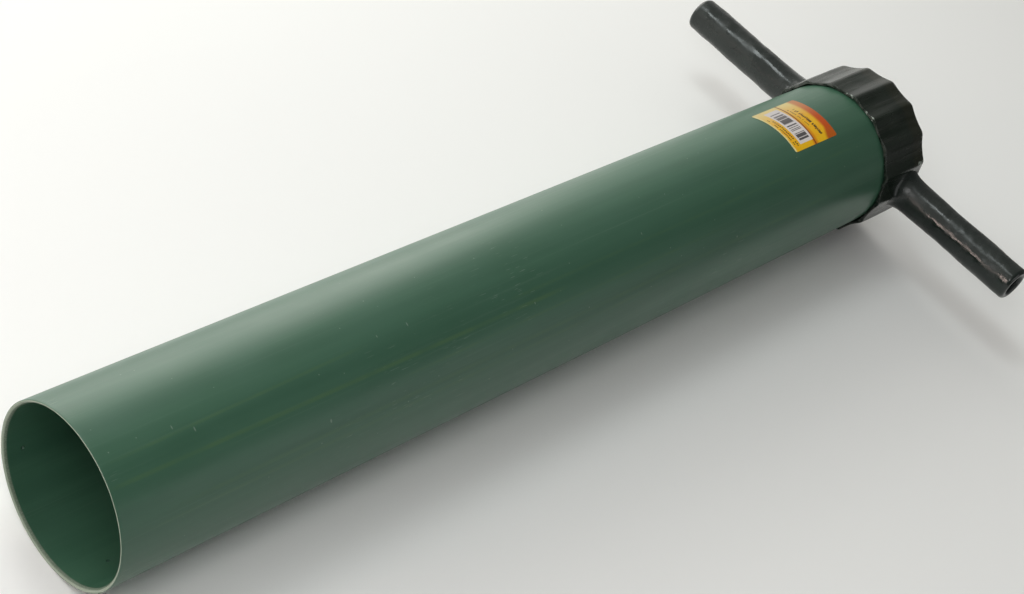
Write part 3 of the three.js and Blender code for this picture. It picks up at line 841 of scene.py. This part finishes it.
def jacket_moulding(material):
    """Cup-shaped moulding over the weight and the end of the pipe."""
    angle = circle_angles(FLUTES * SAMPLES_PER_FLUTE)
    rows = []
    uneven = []

    def add(x, radius, outside=False):
        rows.append(polar(x, radius, angle))
        uneven.append(1.0 if outside else 0.0)

    inner_end = JACKET_END - JACKET_TOP_WALL
    inner_round = JACKET_CORNER - JACKET_TOP_WALL
    for radius in (CENTRE_HOLE, 0.5 * JACKET_BORE, JACKET_BORE - inner_round):
        add(inner_end, radius)
    for turn in np.linspace(0.2, math.pi / 2, 6):
        x = inner_end - inner_round * (1 - math.cos(turn))
        add(x, JACKET_BORE - inner_round * (1 - math.sin(turn)))
    for x in steps(inner_end - inner_round - 6 * MM, JACKET_START + LIP_LENGTH, 12 * MM):
        add(x, JACKET_BORE)
    wall = jacket_radius(JACKET_START, angle)
    lip = JACKET_BORE + LIP_GAP + 0.45 * (wall - wall.min())
    add(JACKET_START + 0.4 * MM, lip)
    add(JACKET_START, lip + 0.15 * MM)
    for turn in np.linspace(0, math.pi / 2, 6):
        lip_round = np.minimum(LIP_ROUND, 0.5 * (wall - lip))
        x = JACKET_START + lip_round * (1 - math.cos(turn))
        add(x, wall - lip_round * (1 - math.sin(turn)), outside=turn > 0)
    for x in steps(JACKET_START + 2.5 * MM, JACKET_END - JACKET_CORNER, 2.5 * MM):
        add(x, jacket_radius(x, angle), outside=True)
    for turn in np.linspace(0.06, math.pi / 2, 16):
        x = JACKET_END - JACKET_CORNER + JACKET_CORNER * math.sin(turn)
        limit = 0.15 * RIDGE_RADIUS + 0.85 * flute_radius(angle)
        rounded = limit - JACKET_CORNER * (1 - math.cos(turn))
        add(x, soft_minimum(jacket_radius(x, angle), rounded, 0.8 * MM), outside=True)
    for radius in steps(VALLEY_RADIUS - JACKET_CORNER - 3 * MM, 3 * MM, 8 * MM):
        add(JACKET_END, radius)
    rings = np.array(rows)
    outward = rings - np.array([0, 0, AXIS_HEIGHT])
    outward[..., 0] = 0
    outward /= np.linalg.norm(outward, axis=-1, keepdims=True)
    push = np.array(uneven)[:, None] * JACKET_UNEVEN * (ripple(rings, 24 * MM, 3) - 1)
    rings += outward * push[..., None]
    body = ringed_body("jacket_moulding", rings, material, closed=False, sharp_degrees=40)
    reach = 1.2 * RIDGE_RADIUS
    start, end = (BAR_X, -reach, AXIS_HEIGHT), (BAR_X, reach, AXIS_HEIGHT)
    return cut(body, [rod("bar_cutter", start, end, BAR_RADIUS + GRIP_GAP, material, sides=64)])


def soft_minimum(a, b, width):
    """The smaller of two values, with the corner between them rounded."""
    gap = np.clip(0.5 + 0.5 * (b - a) / width, 0, 1)
    return b * (1 - gap) + a * gap - width * gap * (1 - gap)


def root_distance(x_offset, z_offset):
    """How far along a handle the jacket's surface lies, at an offset from the handle's axis."""
    reach = np.full(np.shape(z_offset), RIDGE_RADIUS)
    for _ in range(8):
        reach = np.sqrt(jacket_radius(BAR_X + x_offset, np.arctan2(z_offset, reach)) ** 2 - z_offset**2)
    return reach


def grip_coating(name, side, seed, material):
    """Thick dipped coating on one end of the bar. It spreads at the head and leaves the bore open."""
    around = circle_angles(GRIP_SIDES)
    cos, sin = np.cos(around), np.sin(around)
    lip_round = (GRIP_RADIUS - BAR_BORE) / 2 * 0.98
    bar_hole = BAR_RADIUS + GRIP_GAP
    limit = JACKET_END - 0.4 * MM - BAR_X - GRIP_RADIUS
    spread = GRIP_FLARE * (1 + 0.25 * np.cos(2 * around + seed))
    spread = np.where(cos > 0, np.minimum(spread, limit / np.maximum(cos, 0.2)), spread)
    apron = GRIP_APRON * np.maximum(-cos, 0) ** 2
    root = GRIP_RADIUS + spread + apron
    outer_root = root_distance(root * cos, root * sin) - GRIP_EMBED
    inner_root = root_distance(bar_hole * cos, bar_hole * sin) - GRIP_EMBED
    lip_start = GRIP_END - lip_round
    rows = []

    def add(distance, radius):
        distance = np.broadcast_to(distance, around.shape)
        radius = np.broadcast_to(radius, around.shape)
        rows.append(np.stack([radius * cos, distance, radius * sin], axis=-1))

    base = outer_root.min()
    nearby = list(np.geomspace(0.4 * MM, GRIP_SETTLED, 22) - 0.4 * MM)
    for away in nearby + steps(GRIP_SETTLED + 2 * MM, lip_start - base, 2 * MM):
        lag = (outer_root - base) * (1 - away / GRIP_SETTLED) ** 2 if away < GRIP_SETTLED else 0.0
        flare = spread * math.exp(-away / GRIP_FLARE_DECAY) + apron * math.exp(-away / GRIP_APRON_DECAY)
        add(base + away + lag, GRIP_RADIUS + flare)
    for turn in np.linspace(0.08, math.pi, 22):
        add(lip_start + lip_round * math.sin(turn), GRIP_RADIUS - lip_round * (1 - math.cos(turn)))
    add(BAR_END + GRIP_GAP, BAR_BORE)
    add(BAR_END + GRIP_GAP, bar_hole)
    for share in (0.25, 0.5, 0.75):
        add((BAR_END + GRIP_GAP) * (1 - share) + inner_root * share, bar_hole)
    add(inner_root, bar_hole)
    add((inner_root + outer_root) / 2, (bar_hole + root) / 2)
    rings = np.array(rows)
    radius = np.hypot(rings[..., 0], rings[..., 2])
    outside = np.clip((radius - bar_hole - 1 * MM) / (4 * MM), 0, 1)
    outside[-1] = 0
    stretched = rings * np.array([1.0, 0.55, 1.0])
    lumps = GRIP_LUMPS * ripple(stretched, 16 * MM, seed) + GRIP_PIMPLES * ripple(rings, 7 * MM, seed + 5)
    along = rings[..., 1]
    near_root = np.clip((along - base) / (10 * MM), 0.25, 1)
    scale = 1 + outside * near_root * lumps / np.maximum(radius, 1 * MM)
    rings[..., 0] *= scale
    rings[..., 2] *= scale
    rings[..., 1] *= side
    rings += np.array([BAR_X, 0, AXIS_HEIGHT])
    return ringed_body(name, rings, material, closed=True)


def handle_core(material):
    """Steel pipe through the head, whose bore shows at the ends of the grips."""
    edge = 0.4 * MM
    outline = [(-BAR_END, BAR_BORE + edge), (-BAR_END, BAR_RADIUS - edge), (-BAR_END + edge, BAR_RADIUS)]
    outline += [(y, BAR_RADIUS) for y in steps(-BAR_END + 4 * MM, BAR_END - 4 * MM, 20 * MM)]
    outline += [(BAR_END - edge, BAR_RADIUS), (BAR_END, BAR_RADIUS - edge), (BAR_END, BAR_BORE + edge)]
    outline += [(y, BAR_BORE) for y in steps(BAR_END - edge, -BAR_END + edge, 20 * MM)]
    around = circle_angles(96)
    rings = []
    for y, radius in outline:
        across = BAR_X + radius * np.cos(around)
        up = AXIS_HEIGHT + radius * np.sin(around)
        rings.append(np.stack([across, np.full(around.shape, y), up], axis=-1))
    body = ringed_body("handle_core", rings, material, closed=True)
    cutters = []
    for y in (-PIN_OFFSET, PIN_OFFSET):
        start = (BAR_X - 2 * BAR_RADIUS, y, AXIS_HEIGHT)
        end = (BAR_X + 2 * BAR_RADIUS, y, AXIS_HEIGHT)
        cutters.append(rod("pin_cutter", start, end, PIN_HOLE, material))
    return cut(body, cutters)


def label_sticker(material):
    """Thin printed film bent round the pipe, with rounded corners and a UV map in millimetres / 100."""
    inner = TUBE_RADIUS + LABEL_LIFT
    outer = inner + LABEL_FILM
    first = math.acos(label_high.y / (TUBE_RADIUS + LABEL_CAD_LIFT))
    last = math.acos(label_low.y / (TUBE_RADIUS + LABEL_CAD_TOP))
    start, end = label_low.x, label_high.x
    width = (last - first) * outer
    near = [LABEL_CORNER * (1 - math.cos(turn)) for turn in np.linspace(0, math.pi / 2, 8)]
    middle = steps(start + LABEL_CORNER, end - LABEL_CORNER, 3 * MM)[1:-1]
    places = [start + d for d in near] + middle + [end - d for d in reversed(near)]
    columns = LABEL_COLUMNS
    vertices = []
    uvs = []
    for radius in (inner, outer):
        for x in places:
            d = min(x - start, end - x)
            inset = LABEL_CORNER - math.sqrt(max(LABEL_CORNER**2 - max(LABEL_CORNER - d, 0) ** 2, 0))
            for share in np.linspace(0, 1, columns):
                arc = inset + share * (width - 2 * inset)
                vertices.append(polar(x, radius, last - arc / outer))
                uvs.append((arc / LABEL_UV_UNIT, (x - start) / LABEL_UV_UNIT))
    rows = len(places)
    faces = []
    layer = rows * columns
    for i in range(rows - 1):
        for j in range(columns - 1):
            a, b = i * columns + j, (i + 1) * columns + j
            faces.append((a, a + 1, b + 1, b))
            faces.append((layer + a, layer + b, layer + b + 1, layer + a + 1))
    border = list(range(columns))
    border += [i * columns + columns - 1 for i in range(1, rows)]
    border += [(rows - 1) * columns + j for j in range(columns - 2, -1, -1)]
    border += [i * columns for i in range(rows - 2, 0, -1)]
    for a, b in zip(border, border[1:] + border[:1]):
        faces.append((b, a, layer + a, layer + b))
    obj = new_object("label_sticker", vertices, faces, material)
    layer_uv = obj.data.uv_layers.new(name="print")
    for loop in obj.data.loops:
        layer_uv.data[loop.index].uv = uvs[loop.vertex_index]
    return obj


def plate_disc(material):
    """Steel disc inside the pipe that takes the blows, with a bevelled edge and a slightly dented face."""
    edge = (plate_high.y - plate_low.y) / 2
    face, back = plate_low.x, plate_high.x
    outline = [(face, r) for r in steps(CENTRE_HOLE, edge - PLATE_EDGE, 4 * MM)]
    outline += [(face + PLATE_FACE_EDGE, edge - PLATE_FACE_EDGE), (face + PLATE_EDGE, edge)]
    outline += [(back - PLATE_BACK_EDGE, edge), (back, edge - PLATE_BACK_EDGE), (back, CENTRE_HOLE)]
    around = circle_angles(144)
    rings = np.array([polar(x, radius, around) for x, radius in outline])
    dents = np.array([[1.0] if x == face else [0.0] for x, _ in outline])
    rings[..., 0] += dents * PLATE_DENTS * (1 + ripple(rings, 11 * MM, 8))
    body = ringed_body("plate_disc", rings, material, closed=False)
    cutters = []
    for y, z in screw_places():
        cutters.append(screw_shape("screw_cutter", y, z, SCREW_CLEARANCE, material, recess=False))
    return cut(body, cutters)


def screw_places():
    """Where the strike plate's four screws are, as y and z."""
    angles = [(i + 0.5) * math.pi / 2 for i in range(4)]
    return [(SCREW_CIRCLE * math.cos(a), AXIS_HEIGHT + SCREW_CIRCLE * math.sin(a)) for a in angles]


def screw_shape(name, y, z, grow, material, recess):
    """A countersunk screw through the strike plate, or with recess False the hole that it sits in."""
    head, shank = SCREW_HEAD + grow, SCREW_SHANK + grow
    face = plate_low.x - (0 if recess else 5 * MM)
    seat = plate_low.x + SCREW_RIM_DEPTH + grow
    tip = plate_low.x + (SCREW_LENGTH + 3 * grow)
    outline = [(face, head - SCREW_RIM), (face + SCREW_RIM, head), (seat, head)]
    outline += [(seat + head - shank, shank), (tip - shank, shank), (tip, shank / 2)]
    around = circle_angles(SCREW_SIDES)
    rings = []
    for x, radius in outline:
        ring = [np.full(SCREW_SIDES, x), y + radius * np.cos(around), z + radius * np.sin(around)]
        rings.append(np.stack(ring, axis=-1))
    body = ringed_body(name, rings, material, closed=False)
    if recess:
        start, end = (face - 2 * MM, y, z), (face + SOCKET_DEPTH, y, z)
        cut(body, [rod("socket_cutter", start, end, SOCKET_RADIUS, material, sides=6)])
    return body


# ---- Assembly ----

materials = {
    "pipe_green": pipe_material(),
    "head_black": head_material(),
    "grip_green": grip_material(),
    "cast_weight": cast_material(),
    "plain_steel": steel_material(),
    "label_film": label_material(),
}


def place(piece, slot, *nodes):
    """The piece rides on the tool and stands for its CAD nodes; its slot is not used."""
    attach(piece, "root")
    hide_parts(*nodes)


place(pipe_body(materials["pipe_green"]), "pipe_green", "guide_tube")
place(jacket_moulding(materials["head_black"]), "head_black", "head_jacket")
place(grip_coating("grip_coating_left", 1, 2.0, materials["grip_green"]), "grip_green", "handle_grip_left")
place(grip_coating("grip_coating_right", -1, 9.0, materials["grip_green"]), "grip_green", "handle_grip_right")
place(handle_core(materials["plain_steel"]), "plain_steel", "handle_bar")
place(plate_disc(materials["plain_steel"]), "plain_steel", "strike_plate")
place(label_sticker(materials["label_film"]), "label_film", "spec_label")
for number, (screw_y, screw_z) in enumerate(screw_places(), start=1):
    screw = screw_shape(f"plate_bolt_{number}", screw_y, screw_z, 0.0, materials["plain_steel"], recess=True)
    place(screw, "plain_steel", f"strike_plate_screw_{number}")

for part in frame["record"]["subparts"]:
    for socket in frame["nodes"][part["node"]].material_slots:
        socket.material = materials[part["material_slot"]]

# ---- Floor, light and camera ----

FLOOR_SIZE = 16.0
FLOOR_FRONT = 0.78  # the floor's front edge, measured from the tool's middle
FLOOR_TURN = math.radians(-45)  # the way its front edge faces
MOUTH_LIFT = AXIS_HEIGHT - TUBE_RADIUS
FLOOR_TILT = math.atan2(MOUTH_LIFT, JACKET_START - MOUTH)  # the tool rests on its head and on its mouth


def make_floor():
    """One flat tilted rectangle that ends a short way in front of the tool."""
    half = FLOOR_SIZE / 2
    front = np.array([math.cos(FLOOR_TURN), math.sin(FLOOR_TURN)])
    side = np.array([-front[1], front[0]])
    reach = [(FLOOR_FRONT, -half), (FLOOR_FRONT, half), (-FLOOR_SIZE, half), (-FLOOR_SIZE, -half)]
    corners = [forward * front + sideways * side for forward, sideways in reach]
    vertices = [(x, y, (JACKET_START - x) * math.tan(FLOOR_TILT)) for x, y in corners]
    mesh = bpy.data.meshes.new("floor")
    mesh.from_pydata(vertices, [], [(0, 1, 2, 3)])
    mesh.materials.append(floor_material())
    obj = add_object("floor", mesh)


def soft_light(name, place, aim, width, height, power, colour=(1, 1, 1)):
    """A soft box at a place, facing another place."""
    data = bpy.data.lights.new(name, "AREA")
    data.shape = "RECTANGLE"
    data.size = width
    data.size_y = height
    data.energy = power
    data.color = colour
    obj = add_object(name, data)
    obj.location = place
    obj.rotation_euler = (Vector(place) - Vector(aim)).to_track_quat("Z", "Y").to_euler()
    obj.visible_camera = False


LIGHT_COOL = (0.92, 1.0, 1.0)
LIGHT_CREAM = (1.0, 0.99, 0.93)
LIGHT_IVORY = (1.0, 0.99, 0.95)
LIGHT_WARM = (1.0, 0.78, 0.70)


def make_lights():
    """Soft boxes round the tool and its mouth, and two narrow warm strips beyond the mouth."""
    middle = (0, 0, AXIS_HEIGHT)
    head = (BAR_X, 0, AXIS_HEIGHT)
    beyond_mouth = (2 * MOUTH, 0, AXIS_HEIGHT)
    soft_light("overhead_strip", (-0.18, 1.00, 2.40), head, 0.6, 0.8, 8.5, LIGHT_COOL)
    soft_light("overhead_box", (-0.36, 0.40, 2.50), head, 0.7, 0.60, 2, LIGHT_COOL)
    soft_light("back_panel", (0.55, 1.65, 0.75), middle, 1.5, 1.5, 16, LIGHT_CREAM)
    soft_light("end_panel", (2.18, 1.04, 0.50), head, 1.2, 1.0, 1.0, LIGHT_IVORY)
    soft_light("front_panel", (0.95, -1.90, 0.45), head, 1.5, 0.9, 3.6)
    soft_light("mouth_back", (-0.85, 1.9, 1.0), beyond_mouth, 0.6, 0.6, 10)
    soft_light("mouth_front", (-1.25, -0.46, 1.44), beyond_mouth, 0.8, 0.8, 9)
    soft_light("warm_side_near", (-1.74, 0.46, 0.68), head, 0.05, 0.60, 1.8, LIGHT_WARM)
    soft_light("warm_side_far", (-1.74, 0.31, 0.68), head, 0.05, 0.60, 1.8, LIGHT_WARM)


WORLD_COLOUR = rgb(1.0, 0.99, 0.95)
WORLD_BRIGHT_SIDE = (-0.35, 0.93, 0.0)
WORLD_LOW = 0.12
WORLD_HIGH = 0.78


def make_world():
    """Surroundings that brighten towards one side."""
    world = bpy.data.worlds.new("studio")
    world.use_nodes = True
    tree = world.node_tree
    background = tree.nodes["Background"]
    background.inputs["Color"].default_value = WORLD_COLOUR
    direction = tree.nodes.new("ShaderNodeTexCoord")
    towards_back = tree.nodes.new("ShaderNodeVectorMath")
    towards_back.operation = "DOT_PRODUCT"
    towards_back.inputs[1].default_value = WORLD_BRIGHT_SIDE
    tree.links.new(direction.outputs["Generated"], towards_back.inputs[0])
    gradient = tree.nodes.new("ShaderNodeMapRange")
    gradient.interpolation_type = "SMOOTHSTEP"
    for socket, value in zip(gradient.inputs, (0, -0.5, 0.8, WORLD_LOW, WORLD_HIGH)):
        socket.default_value = value
    tree.links.new(towards_back.outputs["Value"], gradient.inputs[0])
    tree.links.new(gradient.outputs[0], background.inputs["Strength"])
    bpy.context.scene.world = world


CAMERA_AIM = Vector((-0.040, -0.0023, AXIS_HEIGHT))
CAMERA_DISTANCE = 1.7585
CAMERA_AZIMUTH = math.radians(-59.859)
CAMERA_ELEVATION = math.radians(41.156)
CAMERA_ROLL = math.radians(24.38)
CAMERA_LENS = 65.72
CAMERA_SENSOR = 36
CAMERA_FAR = 50


def make_camera():
    """Azimuth 0 looks along +Y. Roll turns the camera about the line it looks along."""
    data = bpy.data.cameras.new("camera")
    data.lens = CAMERA_LENS
    data.sensor_width = CAMERA_SENSOR
    data.clip_end = CAMERA_FAR
    obj = add_object("camera", data)
    flat = math.cos(CAMERA_ELEVATION)
    towards = Vector((
        flat * math.sin(CAMERA_AZIMUTH),
        -flat * math.cos(CAMERA_AZIMUTH),
        math.sin(CAMERA_ELEVATION),
    ))
    look = towards.to_track_quat("Z", "Y").to_matrix().to_4x4()
    roll = Matrix.Rotation(CAMERA_ROLL, 4, "Z")
    obj.matrix_world = Matrix.Translation(CAMERA_AIM + towards * CAMERA_DISTANCE) @ look @ roll
    bpy.context.scene.camera = obj


make_floor()
make_lights()
make_world()
make_camera()
bpy.context.scene.view_settings.view_transform = "Standard"
